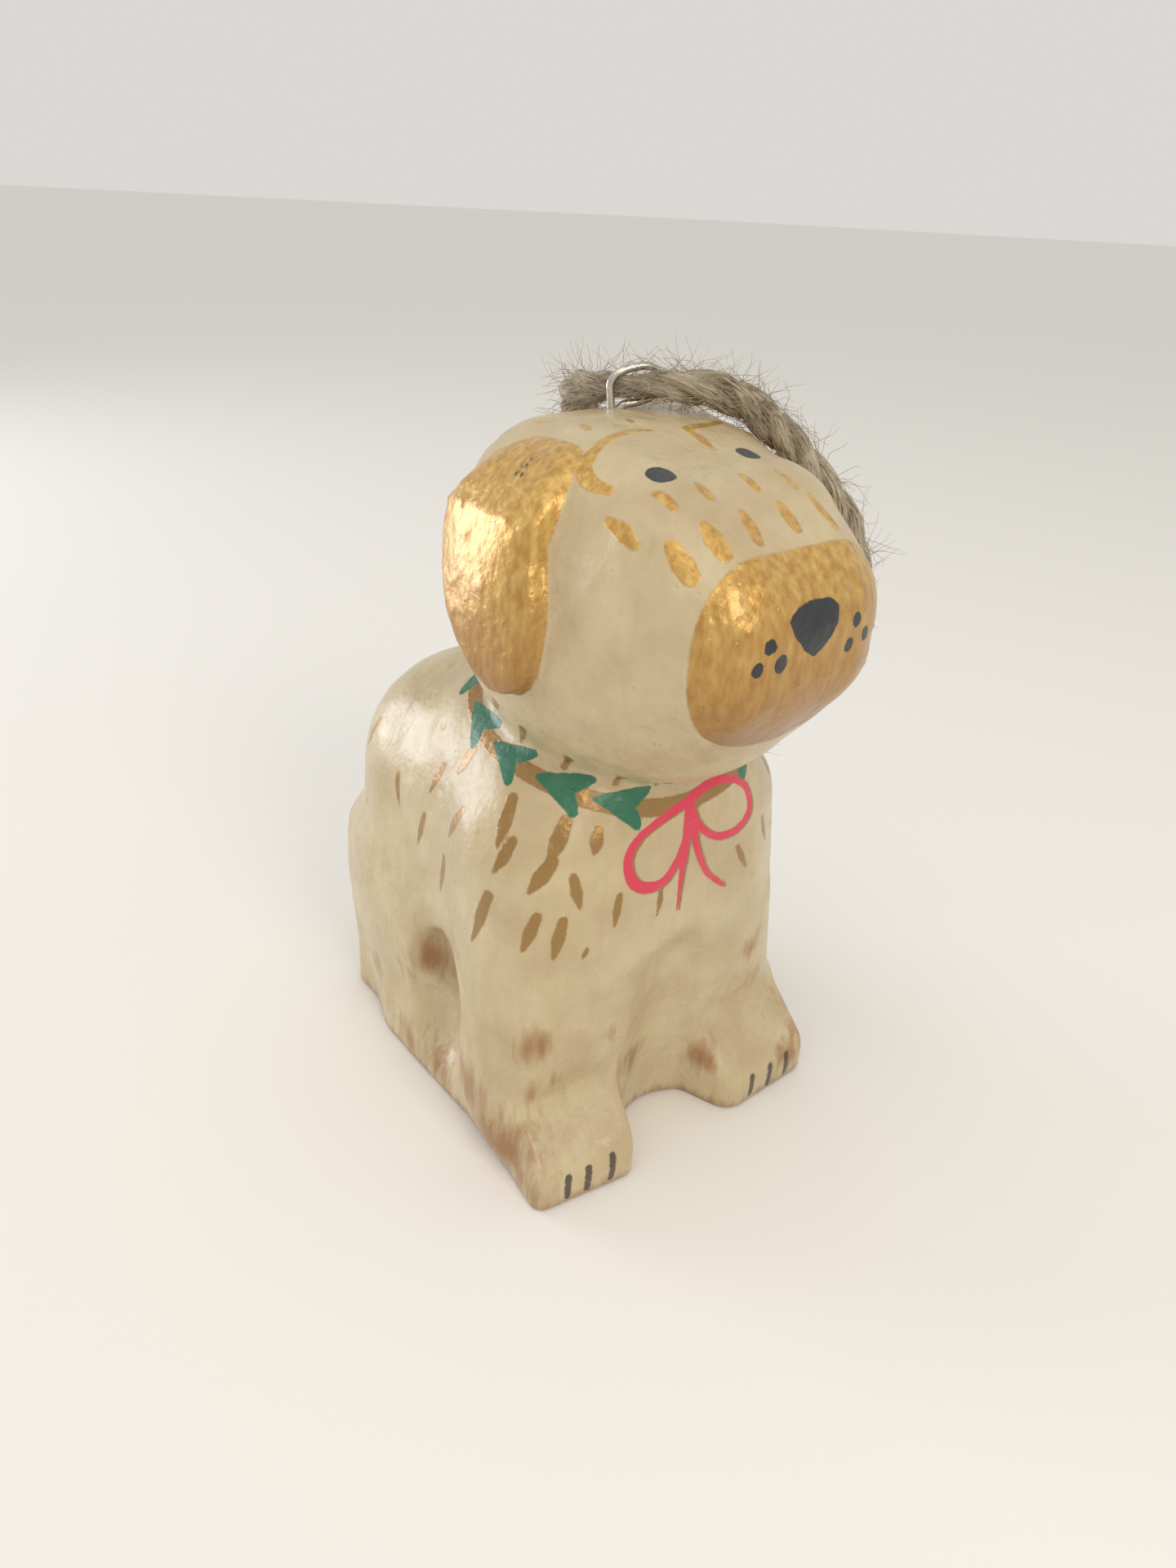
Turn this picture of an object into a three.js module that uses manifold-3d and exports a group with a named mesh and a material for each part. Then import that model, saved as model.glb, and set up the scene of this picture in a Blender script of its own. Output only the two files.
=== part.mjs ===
// A sitting dog carved from one block of light wood, a hanging ornament: a wire screw eye
// in its crown carries a loop of jute cord, tied in a knot. Millimetres, +Z up. The dog looks
// along -Y, its left side is at +X, and the origin is under its middle, on its flat sole.

import * as THREE from "three";
import { mergeVertices } from "three/addons/utils/BufferGeometryUtils.js";
import Module from "manifold-3d";

const wasm = await Module();
wasm.setup();

// Driving sizes of the carving
const figureHeight = 100; // sole to crown
const skinStep = 3; // spacing of the grid that the carved surface is laid on
const earThickness = 2.4; // how far each ear stands out of the head

// Driving sizes of the screw eye
const wireDiameter = 1;
const eyeInsideWidth = 5.4;
const eyeInsideHeight = 3;
const eyeOffset = 1.8; // the ring's middle stands this far to one side of its shank
const eyeTurn = -22; // degrees round the shank, from facing straight ahead
const eyeTilt = 13; // degrees that the ring is turned in its own plane, its far side upwards
const eyeSquareness = 0.8; // 1 is an oval, and less is squarer
const ringRise = 0.6; // of the ring's lowest middle line above the wood
const shankLength = 9; // screwed into the wood
const shankBend = 0.8; // radius of the wire's middle where the shank turns into the ring
const boreClearance = 0.3; // between the wire and the wood around it
const seatDepth = 0.6; // of the shallow round hollow round the shank
const wireSides = 8;

// Driving sizes of the cord and its knot
const cordDiameter = 4;
const cordSides = 8;
const cordStep = 1.2; // length of one step of the tube, in cord diameters
const cordPinch = 0.4; // share of its thickness that the cord loses inside the ring
const knotRadii = [3.5, 4.6, 6.2];
const knotStep = 1.9; // spacing of the grid that the knot's surface is laid on
const touchGap = 0.3; // between the faces of pieces that meet

// The figure's pose and proportions are shares of its height, written in percent
const percent = figureHeight / 100;
const share = (...values) => values.map((value) => value * percent);

// Signed distances, negative inside. Every one takes a point as three numbers.

function ellipsoid([cx, cy, cz], [rx, ry, rz]) {
  return (x, y, z) => {
    const [u, v, w] = [x - cx, y - cy, z - cz];
    const reach = Math.hypot(u / rx, v / ry, w / rz);
    const slope = Math.hypot(u / rx ** 2, v / ry ** 2, w / rz ** 2);
    return slope < 1e-9 ? -Math.min(rx, ry, rz) : (reach * (reach - 1)) / slope;
  };
}

function roundedBox([cx, cy, cz], [hx, hy, hz], radius) {
  return (x, y, z) => {
    const u = Math.abs(x - cx) - hx + radius;
    const v = Math.abs(y - cy) - hy + radius;
    const w = Math.abs(z - cz) - hz + radius;
    const outside = Math.hypot(Math.max(u, 0), Math.max(v, 0), Math.max(w, 0));
    return outside + Math.min(Math.max(u, v, w), 0) - radius;
  };
}

// A round limb from one point to another, with its own radius at each end
function limb([ax, ay, az], [bx, by, bz], startRadius, endRadius) {
  const [dx, dy, dz] = [bx - ax, by - ay, bz - az];
  const lengthSquared = dx * dx + dy * dy + dz * dz;
  return (x, y, z) => {
    const along = ((x - ax) * dx + (y - ay) * dy + (z - az) * dz) / lengthSquared;
    const t = Math.min(1, Math.max(0, along));
    const away = Math.hypot(x - ax - t * dx, y - ay - t * dy, z - az - t * dz);
    return away - startRadius - t * (endRadius - startRadius);
  };
}

// The same shape on the dog's left and right
const onBothSides = (shape) => (x, y, z) => shape(Math.abs(x), y, z);

function softMin(a, b, width) {
  const h = Math.max(width - Math.abs(a - b), 0) / width;
  return Math.min(a, b) - (h * h * width) / 4;
}

const join = (width, first, ...others) => (x, y, z) =>
  others.reduce((least, shape) => softMin(least, shape(x, y, z), width), first(x, y, z));

const carve = (width, solid, ...cuts) => (x, y, z) =>
  cuts.reduce((most, cut) => -softMin(-most, cut(x, y, z), width), solid(x, y, z));

// The head: a round skull with a broad, blunt muzzle nearly as high as the brow
function headForm() {
  const skull = ellipsoid(share(0, -11.5, 77.5), share(21.8, 19.5, 22));
  const crown = roundedBox(share(0, -10.2, 84), share(18.5, 15.8, 15.2), 11.5 * percent);
  const cheeks = ellipsoid(share(0, -20, 74), share(20.5, 19, 16.5));
  const brow = roundedBox(share(0, -21, 83.5), share(17.5, 15, 13.5), 10 * percent);
  const muzzle = roundedBox(share(0, -30, 80.2), share(16, 13, 11.6), 10 * percent);
  const swelling = ellipsoid(share(10, -6, 88), share(11, 10, 12)); // uneven, as cut by hand
  return join(4 * percent, skull, crown, cheeks, brow, muzzle, swelling);
}

// The trunk: a block with rounded corners below, leaning in to the shoulders
function trunkForm() {
  const rump = roundedBox(share(0, 6, 10), share(20.5, 26, 26), 5 * percent);
  const back = roundedBox(share(0, 5, 33.3), share(21.6, 28, 28.8), 17.5 * percent);
  const chest = ellipsoid(share(0, -7, 42), share(21, 20, 24));
  const bib = roundedBox(share(0, -6, 24), share(18.5, 20.5, 41), 13 * percent);
  return join(5 * percent, rump, back, chest, bib);
}

function haunchForm() {
  const thigh = ellipsoid(share(10.4, 13, 24), share(11.4, 17, 19));
  const foot = roundedBox(share(15, 3, 2), share(6.6, 14, 9), 4 * percent);
  return onBothSides(join(4 * percent, thigh, foot));
}

// A foreleg down to the ankle: round above, and squarer below
function forelegForm() {
  const leg = limb(share(14.6, -14.2, 46), share(18.8, -17.4, 10), 9.5 * percent, 7.8 * percent);
  const outerCorner = limb(share(17, -16, 46), share(22.4, -21.2, 6), 6.3 * percent, 3.6 * percent);
  const innerCorner = limb(share(14, -17, 40), share(12.2, -21.2, 6), 6 * percent, 3.6 * percent);
  return onBothSides(join(4 * percent, leg, outerCorner, innerCorner));
}

// A paw, its toes turned to the dog's left by a few degrees, and its top sloping down to them
function pawForm([cx, cy], halfWidth, turnDegrees) {
  const turn = THREE.MathUtils.degToRad(turnDegrees);
  const block = roundedBox(share(0, 0, 2), share(halfWidth, 10.4, 14), 1.8 * percent);
  return (x, y, z) => {
    const [aside, ahead] = [x - cx, y - cy];
    const across = aside * Math.cos(turn) + ahead * Math.sin(turn);
    const along = ahead * Math.cos(turn) - aside * Math.sin(turn);
    const aboveSlope = (along + 9.4 * percent - (z - 6.5 * percent)) * Math.SQRT1_2;
    return -softMin(-block(across, along, z), aboveSlope, 1.6 * percent);
  };
}

function figureForm() {
  const tail = limb(share(0, 29, 6), share(0, 32.5, 25), 3.5 * percent, 2.5 * percent);
  const torso = join(4 * percent, join(8 * percent, trunkForm(), haunchForm(), forelegForm()), tail);
  const flankHollow = onBothSides(
    join(
      percent,
      ellipsoid(share(24.5, -3, 21), share(7, 7, 8.5)),
      ellipsoid(share(28.5, -1, 12), share(9, 9.5, 9.5)),
    ),
  );
  const [shinFace, ankle] = share(24.7, 13);
  const beforeShins = (x, y, z) => y + shinFace + 0.25 * Math.max(z - ankle, 0);
  const upright = carve(1.4 * percent, torso, flankHollow, beforeShins);
  const rightPaw = pawForm(share(-16.1, -21.5), 8.3, -9);
  const leftPaw = pawForm(share(16.1, -22.2), 10.2, 1);
  const archway = join(
    3 * percent,
    limb(share(0, -32, 27.5), share(0, -29.5, -4), 7.6 * percent, 7.5 * percent),
    limb(share(0, -38, 24), share(0, -38, -4), 9 * percent, 11 * percent),
  );
  const body = carve(2.5 * percent, join(1.8 * percent, upright, rightPaw, leftPaw), archway);
  return join(2 * percent, body, headForm());
}

// The closed skin of a form, as quads between the cells of a grid that the surface crosses
// (surface nets), each corner then drawn onto the surface itself.
function skinOf(form, low, high, step) {
  const count = low.map((start, axis) => Math.ceil((high[axis] - start) / step) + 1);
  const at = (i, j, k) => (k * count[1] + j) * count[0] + i;
  const value = new Float64Array(count[0] * count[1] * count[2]);
  const place = (axis, n) => low[axis] + n * step;
  for (let k = 0; k < count[2]; k++)
    for (let j = 0; j < count[1]; j++)
      for (let i = 0; i < count[0]; i++)
        value[at(i, j, k)] = form(place(0, i), place(1, j), place(2, k));

  const positions = [];
  const cornerOfCell = new Map();
  for (let k = 0; k < count[2] - 1; k++)
    for (let j = 0; j < count[1] - 1; j++)
      for (let i = 0; i < count[0] - 1; i++) {
        const corner = cornerIn(i, j, k);
        if (!corner) continue;
        cornerOfCell.set(at(i, j, k), positions.length / 3);
        positions.push(...drawnOn(form, corner, step));
      }

  // The mean of the points where the surface crosses the twelve edges of one cell
  function cornerIn(i, j, k) {
    const sum = [0, 0, 0];
    let crossings = 0;
    for (let axis = 0; axis < 3; axis++)
      for (let edge = 0; edge < 4; edge++) {
        const start = [i, j, k];
        start[(axis + 1) % 3] += edge & 1;
        start[(axis + 2) % 3] += edge >> 1;
        const end = [...start];
        end[axis] += 1;
        const [a, b] = [value[at(...start)], value[at(...end)]];
        if (a < 0 === b < 0) continue;
        crossings += 1;
        for (let n = 0; n < 3; n++)
          sum[n] += place(n, start[n] + (n === axis ? a / (a - b) : 0));
      }
    return crossings ? sum.map((total) => total / crossings) : null;
  }

  const index = [];
  for (let k = 1; k < count[2] - 1; k++)
    for (let j = 1; j < count[1] - 1; j++)
      for (let i = 1; i < count[0] - 1; i++)
        for (let axis = 0; axis < 3; axis++) {
          const end = [i, j, k];
          end[axis] += 1;
          const inside = value[at(i, j, k)] < 0;
          if (inside === value[at(...end)] < 0) continue;
          const [p, q] = [(axis + 1) % 3, (axis + 2) % 3];
          const around = [[0, 0], [1, 0], [1, 1], [0, 1]].map(([back, under]) => {
            const cell = [i, j, k];
            cell[p] -= back;
            cell[q] -= under;
            return cornerOfCell.get(at(...cell));
          });
          const [a, b, c, d] = inside ? around : around.reverse();
          index.push(a, b, c, a, c, d);
        }
  return new THREE.BufferGeometry()
    .setAttribute("position", new THREE.Float32BufferAttribute(positions, 3))
    .setIndex(index);
}

// A point near a form, moved down the form's slope until it lies on its surface
function drawnOn(form, point, reach) {
  const probe = 0.05;
  let [x, y, z] = point;
  for (let round = 0; round < 4; round++) {
    const here = form(x, y, z);
    const slope = [
      (form(x + probe, y, z) - form(x - probe, y, z)) / (2 * probe),
      (form(x, y + probe, z) - form(x, y - probe, z)) / (2 * probe),
      (form(x, y, z + probe) - form(x, y, z - probe)) / (2 * probe),
    ];
    const steepness = slope[0] ** 2 + slope[1] ** 2 + slope[2] ** 2;
    if (steepness < 1e-6) break;
    x -= (here * slope[0]) / steepness;
    y -= (here * slope[1]) / steepness;
    z -= (here * slope[2]) / steepness;
  }
  const moved = [x - point[0], y - point[1], z - point[2]];
  const most = Math.max(...moved.map(Math.abs));
  const kept = Math.min(1, (0.5 * reach) / Math.max(most, 1e-9));
  return point.map((start, axis) => start + kept * moved[axis]);
}

// A geometry as a solid that can be joined and cut, and back
function solidFrom(geometry) {
  const bare = geometry.clone();
  bare.deleteAttribute("normal");
  bare.deleteAttribute("uv");
  const merged = mergeVertices(bare, 1e-4);
  return new wasm.Manifold(
    new wasm.Mesh({
      numProp: 3,
      vertProperties: new Float32Array(merged.attributes.position.array),
      triVerts: new Uint32Array(merged.index.array),
    }),
  );
}

function geometryFrom(solid) {
  const { vertProperties, triVerts } = solid.getMesh();
  const geometry = new THREE.BufferGeometry()
    .setAttribute("position", new THREE.BufferAttribute(vertProperties, 3))
    .setIndex(new THREE.BufferAttribute(triVerts, 1));
  geometry.computeVertexNormals();
  return geometry;
}

// An ear's outline from the side, in (Y, Z): a drooping flap, widest below its root
function earOutline() {
  const outline = new THREE.Shape();
  outline.moveTo(...share(-13, 98.8));
  outline.bezierCurveTo(...share(-18.5, 99.5), ...share(-20.5, 93), ...share(-19.5, 89));
  outline.bezierCurveTo(...share(-19.5, 85), ...share(-22.5, 82), ...share(-21, 75));
  outline.bezierCurveTo(...share(-19.5, 70.5), ...share(-13.5, 69.5), ...share(-10.5, 73.5));
  outline.bezierCurveTo(...share(-6.5, 78.5), ...share(0.5, 84), ...share(-1.5, 90.5));
  outline.bezierCurveTo(...share(-3.5, 95.5), ...share(-8, 98), ...share(-13, 98.8));
  return outline;
}

// Both ears: the head's own curve, grown by the ear's thickness, inside the ear's outline
function earSolids() {
  const head = headForm();
  const earTop = 99 * percent;
  const fading = 8 * percent; // the ear rises out of the head over this height
  const grown = (x, y, z) =>
    head(x, y, z) - earThickness * THREE.MathUtils.clamp((earTop - z) / fading, 0.1, 1);
  const headSkin = solidFrom(
    skinOf(grown, share(-34, -54, 44), share(34, 22, 110), skinStep),
  );
  const inner = 8 * percent; // the flap is cut off inside the head, where it doesn't show
  const outer = 40 * percent;
  const flap = new THREE.ExtrudeGeometry(earOutline(), {
    depth: outer - inner,
    bevelEnabled: false,
    curveSegments: 5,
  });
  const sideways = new THREE.Matrix4().makeBasis(
    new THREE.Vector3(0, 1, 0),
    new THREE.Vector3(0, 0, 1),
    new THREE.Vector3(1, 0, 0),
  );
  flap.applyMatrix4(sideways);
  const left = flap.clone().translate(inner, 0, 0);
  const right = flap.clone().translate(-outer, 0, 0);
  return [left, right].map((side) => solidFrom(side).intersect(headSkin));
}

// The height of the carved surface at a point, found from above the crown downwards
function heightAbove(form, x, y) {
  const probe = 0.01;
  let z = figureHeight * 1.2;
  while (form(x, y, z) > probe && z > 0) z -= Math.max(form(x, y, z) * 0.5, probe);
  return z;
}

const figure = figureForm();
const wireRadius = wireDiameter / 2;
const eyeFoot = new THREE.Vector3(...share(0.7, -7.6, 0));
eyeFoot.z = heightAbove(figure, eyeFoot.x, eyeFoot.y);

// The wire's middle line, in the plane of the ring: x across it, y up, from the foot
const eyeHalfWidth = eyeInsideWidth / 2 + wireRadius;
const eyeHalfHeight = eyeInsideHeight / 2 + wireRadius;
const eyeCentre = new THREE.Vector2(eyeOffset, ringRise + eyeHalfHeight);

const painted = (color, roughness, metalness = 0) =>
  new THREE.MeshStandardMaterial({ color, roughness, metalness });

function named(name, geometry, material) {
  const mesh = new THREE.Mesh(geometry, material);
  mesh.name = name;
  return mesh;
}

// The carving, its sole cut flat, with the bore and the shallow seat for the screw eye
function carvedDog() {
  let solid = solidFrom(skinOf(figure, share(-34, -50, -22), share(34, 42, 106), skinStep));
  for (const ear of earSolids()) solid = solid.add(ear);

  const ground = new THREE.BoxGeometry(4 * figureHeight, 4 * figureHeight, figureHeight);
  ground.translate(0, 0, -figureHeight / 2);
  const above = figureHeight / 10;
  const boreRadius = wireRadius + boreClearance;
  const boreDepth = shankLength + boreClearance;
  const bore = new THREE.CylinderGeometry(boreRadius, boreRadius, boreDepth + above, 8);
  bore.rotateX(Math.PI / 2);
  bore.translate(eyeFoot.x, eyeFoot.y, eyeFoot.z + (above - boreDepth) / 2);
  const seatRadius = shankBend + eyeOffset + wireRadius + boreClearance;
  const seat = new THREE.CylinderGeometry(seatRadius, seatRadius, seatDepth + above, 16);
  seat.rotateX(Math.PI / 2);
  const turn = THREE.MathUtils.degToRad(eyeTurn);
  seat.translate(
    eyeFoot.x + (eyeOffset / 2) * Math.cos(turn),
    eyeFoot.y + (eyeOffset / 2) * Math.sin(turn),
    eyeFoot.z + (above - seatDepth) / 2,
  );
  for (const cut of [ground, bore, seat]) solid = solid.subtract(solidFrom(cut));
  return named("carved_dog", geometryFrom(solid), painted(0xcdbd96, 0.42));
}

// A round wire along points of the XZ plane, closed by a flat face at each end
function wireAlong(points) {
  const positions = [];
  const index = [];
  points.forEach((point, n) => {
    const before = points[Math.max(n - 1, 0)];
    const after = points[Math.min(n + 1, points.length - 1)];
    const side = after.clone().sub(before).normalize().rotateAround(new THREE.Vector2(), -Math.PI / 2);
    for (let k = 0; k < wireSides; k++) {
      const angle = (k / wireSides) * 2 * Math.PI;
      const [out, along] = [wireRadius * Math.cos(angle), wireRadius * Math.sin(angle)];
      positions.push(point.x + out * side.x, along, point.y + out * side.y);
    }
  });
  for (let n = 1; n < points.length; n++)
    for (let k = 0; k < wireSides; k++) {
      const next = (k + 1) % wireSides;
      const [a, b] = [(n - 1) * wireSides + k, (n - 1) * wireSides + next];
      index.push(a, b, b + wireSides, a, b + wireSides, a + wireSides);
    }
  const end = (points.length - 1) * wireSides;
  for (let k = 2; k < wireSides; k++) index.push(0, k, k - 1, end, end + k - 1, end + k);
  const geometry = new THREE.BufferGeometry()
    .setAttribute("position", new THREE.Float32BufferAttribute(positions, 3))
    .setIndex(index);
  geometry.computeVertexNormals();
  return geometry;
}

// The screw eye: one wire, straight in the wood, bent over and round into a ring
function screwEye() {
  const [first, last] = [-106, 180].map(THREE.MathUtils.degToRad);
  const ringSteps = 23;
  const squared = (value) => Math.sign(value) * Math.abs(value) ** eyeSquareness;
  const ring = [];
  for (let n = 0; n <= ringSteps; n++) {
    const angle = first + (n / ringSteps) * (last - first);
    const across = eyeHalfWidth * squared(Math.cos(angle));
    const up = eyeHalfHeight * squared(Math.sin(angle));
    const tilted = new THREE.Vector2(across, up);
    tilted.rotateAround(new THREE.Vector2(), THREE.MathUtils.degToRad(eyeTilt));
    ring.push(tilted.add(eyeCentre));
  }
  const points = [new THREE.Vector2(0, -shankLength)];
  const bendSteps = 4;
  for (let n = 0; n < bendSteps; n++) {
    const angle = (n / bendSteps) * (Math.PI / 2);
    const across = ring[0].x * (1 - Math.cos(angle));
    points.push(new THREE.Vector2(across, ring[0].y + shankBend * (Math.sin(angle) - 1)));
  }
  const wireEnd = new THREE.Vector2(ring[ringSteps].x + 0.2, 0);
  points.push(...ring, wireEnd);
  const eye = named("screw_eye", wireAlong(points), painted(0xb8bab8, 0.25, 1));
  eye.position.copy(eyeFoot);
  eye.rotation.z = THREE.MathUtils.degToRad(eyeTurn);
  return eye;
}

// The cord's middle line, chosen point by point: from the ring over the dog's left brow and
// down past its muzzle to the knot, and from the knot up behind the left ear to the ring
const frontRun = [
  [2.2, -8.4, 102.7],
  [4.2, -11.5, 103.1],
  [6.9, -13.7, 103.0],
  [10.4, -15.2, 102.4],
  [13.8, -16.1, 101.0],
  [16.9, -17.3, 98.8],
  [19.6, -19.3, 95.9],
  [21.9, -21.9, 92.4],
  [23.5, -24.7, 88.9],
  [24.4, -26.8, 85.0],
  [25.0, -27.6, 80.9],
  [25.6, -27.0, 76.6],
  [26.0, -24.9, 72.0],
  [26.2, -21.6, 66.8],
  [26.4, -17.6, 61.2],
  [26.5, -13.6, 55.0],
  [27.3, -10.0, 48.2],
  [27.3, -7.2, 41.0],
  [27.1, -5.4, 33.6],
];
const backRun = [
  [27.0, -0.6, 33.6],
  [26.6, 1.8, 41.0],
  [25.6, 3.6, 48.6],
  [24.4, 4.6, 56.4],
  [23.2, 5.0, 64.2],
  [22.0, 5.0, 71.8],
  [20.4, 5.2, 79.2],
  [17.4, 6.6, 85.8],
  [13.2, 8.0, 91.4],
  [8.4, 7.9, 95.8],
  [3.9, 5.0, 99.3],
  [1.4, 0.9, 101.1],
  [0.9, -3.8, 102.1],
];
const knotMiddle = [27.4, -3, 26.4];
const tailEnds = [
  [27.6, 1.2, 13.5],
  [28.2, -7.4, 14.5],
];

function cordLoop() {
  const route = [...backRun, ...frontRun].map((point) => new THREE.Vector3(...point));
  const path = new THREE.CatmullRomCurve3(route);
  const section = new THREE.Shape();
  for (let n = 0; n < cordSides; n++) {
    const angle = (n / cordSides) * 2 * Math.PI;
    const point = [(cordDiameter / 2) * Math.cos(angle), (cordDiameter / 2) * Math.sin(angle)];
    if (n === 0) section.moveTo(...point);
    else section.lineTo(...point);
  }
  section.closePath();
  const steps = Math.round(path.getLength() / (cordStep * cordDiameter));
  const geometry = new THREE.ExtrudeGeometry(section, { steps, extrudePath: path });

  const middles = path.getSpacedPoints(steps);
  const inRing = new THREE.Vector3(...frontRun[0]);
  const corners = geometry.attributes.position;
  const corner = new THREE.Vector3();
  for (let n = 0; n < corners.count; n++) {
    corner.fromBufferAttribute(corners, n);
    const away = (middle) => middle.distanceTo(corner);
    const nearest = middles.reduce((a, b) => (away(b) < away(a) ? b : a));
    const near = nearest.distanceTo(inRing) / (1.5 * cordDiameter);
    const pinched = cordPinch * Math.exp(-(near ** 2));
    corner.lerp(nearest, pinched);
    corners.setXYZ(n, corner.x, corner.y, corner.z);
  }
  return named("cord_loop", geometry, painted(0x9a8a72, 0.9));
}

// The two ends of the cord, tied together, with a short tail of each below the knot
function cordKnot() {
  const ball = ellipsoid(knotMiddle, knotRadii);
  const tails = tailEnds.map((end) => limb(knotMiddle, end, cordDiameter / 2, cordDiameter / 2.4));
  const reach = Math.max(...knotRadii) + 2 * cordDiameter;
  const low = knotMiddle.map((middle) => middle - 2 * reach);
  const high = knotMiddle.map((middle) => middle + reach);
  const geometry = skinOf(join(1, ball, ...tails), low, high, knotStep);
  geometry.computeVertexNormals();
  return named("cord_knot", geometry, painted(0x9a8a72, 0.9));
}

// The ears' axis is ahead of the middle of the carving, and the origin is under that middle,
// so the whole is moved back by the difference
const moveBack = 3.75 * percent;
const ornament = new THREE.Group();
ornament.add(carvedDog(), screwEye(), cordLoop(), cordKnot());
ornament.position.y = moveBack;

export default ornament;
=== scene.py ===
# A sitting dog carved from one block of light wood and painted by hand: gold ears and muzzle, a
# collar of leaves with a bow, and a wire screw eye in its crown with a loop of jute cord.

import math

import bmesh
import bpy
import numpy as np
from mathutils import Matrix, Vector, kdtree, noise


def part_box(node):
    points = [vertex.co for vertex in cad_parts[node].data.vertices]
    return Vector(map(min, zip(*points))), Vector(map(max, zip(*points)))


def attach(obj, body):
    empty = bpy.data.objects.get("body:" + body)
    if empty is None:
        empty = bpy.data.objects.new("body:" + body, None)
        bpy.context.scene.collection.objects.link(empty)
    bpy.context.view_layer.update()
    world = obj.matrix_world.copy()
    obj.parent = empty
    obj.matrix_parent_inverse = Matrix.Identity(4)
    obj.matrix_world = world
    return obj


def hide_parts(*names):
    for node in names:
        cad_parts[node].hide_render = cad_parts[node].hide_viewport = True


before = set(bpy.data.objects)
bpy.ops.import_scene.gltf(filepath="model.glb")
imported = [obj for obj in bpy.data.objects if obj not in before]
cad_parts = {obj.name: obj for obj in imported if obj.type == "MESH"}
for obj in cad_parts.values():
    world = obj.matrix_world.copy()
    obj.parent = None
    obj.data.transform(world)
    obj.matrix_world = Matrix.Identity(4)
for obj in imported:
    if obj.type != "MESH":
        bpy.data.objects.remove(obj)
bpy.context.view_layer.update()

# The carving: one block of light wood, cut with a knife, rubbed smooth and primed. Its shape is
# the solid's own, in the same forms, with edges rubbed round, uneven cuts, pores and pits.
# Lengths are millimetres, from a middle that lies ahead of the frame's origin.
MM = 0.001
carving_middle = np.array([0.0, 3.75, 0.0])
grid_step = 0.52
ear_thickness = 2.4
seed = np.random.default_rng(7)


def ellipsoid(middle, radii):
    middle, radii = np.array(middle, float), np.array(radii, float)

    def form(p):
        reach = np.linalg.norm((p - middle) / radii, axis=1)
        slope = np.linalg.norm((p - middle) / radii**2, axis=1)
        return reach * (reach - 1) / np.maximum(slope, 1e-9)

    return form


def rounded_box(middle, half_sizes, radius):
    middle, half_sizes = np.array(middle, float), np.array(half_sizes, float)

    def form(p):
        over = np.abs(p - middle) - half_sizes + radius
        outside = np.linalg.norm(np.maximum(over, 0), axis=1)
        return outside + np.minimum(over.max(axis=1), 0) - radius

    return form


def limb(start, end, start_radius, end_radius):
    start, run = np.array(start, float), np.subtract(end, start).astype(float)

    def form(p):
        share = np.clip((p - start) @ run / (run @ run), 0, 1)
        away = np.linalg.norm(p - start - share[:, None] * run, axis=1)
        return away - start_radius - share * (end_radius - start_radius)

    return form


def on_both_sides(form):
    return lambda p: form(np.abs(p) * (1, 0, 0) + p * (0, 1, 1))


def soft_min(a, b, width):
    share = np.maximum(width - np.abs(a - b), 0) / width
    return np.minimum(a, b) - share * share * width / 4


def join(width, *forms):
    def form(p):
        least = forms[0](p)
        for other in forms[1:]:
            least = soft_min(least, other(p), width)
        return least

    return form


def carve(width, solid, *cuts):
    def form(p):
        most = solid(p)
        for cut in cuts:
            most = -soft_min(-most, cut(p), width)
        return most

    return form


head = join(
    4,
    ellipsoid((0, -11.5, 77.5), (21.8, 19.5, 22)),
    rounded_box((0, -10.2, 84), (18.5, 15.8, 15.2), 11.5),
    ellipsoid((0, -20, 74), (20.5, 19, 16.5)),
    rounded_box((0, -21, 83.5), (17.5, 15, 13.5), 10),
    rounded_box((0, -30, 80.2), (16, 13, 11.6), 10),
    ellipsoid((10, -6, 88), (11, 10, 12)),
)
trunk = join(
    5,
    rounded_box((0, 6, 10), (20.5, 26, 26), 5),
    rounded_box((0, 5, 33.3), (21.6, 28, 28.8), 17.5),
    ellipsoid((0, -7, 42), (21, 20, 24)),
    rounded_box((0, -6, 24), (18.5, 20.5, 41), 13),
)
haunches = on_both_sides(
    join(4, ellipsoid((10.4, 13, 24), (11.4, 17, 19)), rounded_box((15, 3, 2), (6.6, 14, 9), 4))
)
legs = on_both_sides(
    join(
        4,
        limb((14.6, -14.2, 46), (18.8, -17.4, 10), 9.5, 7.8),
        limb((17, -16, 46), (22.4, -21.2, 6), 6.3, 3.6),
        limb((14, -17, 40), (12.2, -21.2, 6), 6, 3.6),
    )
)
tail = limb((0, 29, 6), (0, 32.5, 25), 3.5, 2.5)
archway = join(
    3,
    limb((0, -32, 27.5), (0, -29.5, -4), 7.6, 7.5),
    limb((0, -38, 24), (0, -38, -4), 9, 11),
)
flank_hollow = on_both_sides(
    join(1, ellipsoid((24.5, -3, 21), (7, 7, 8.5)), ellipsoid((28.5, -1, 12), (9, 9.5, 9.5)))
)


def before_shins(p):
    """The space ahead of the flat fronts of the lower legs."""
    return p[:, 1] + 24.7 + 0.25 * np.maximum(p[:, 2] - 13, 0)


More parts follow.
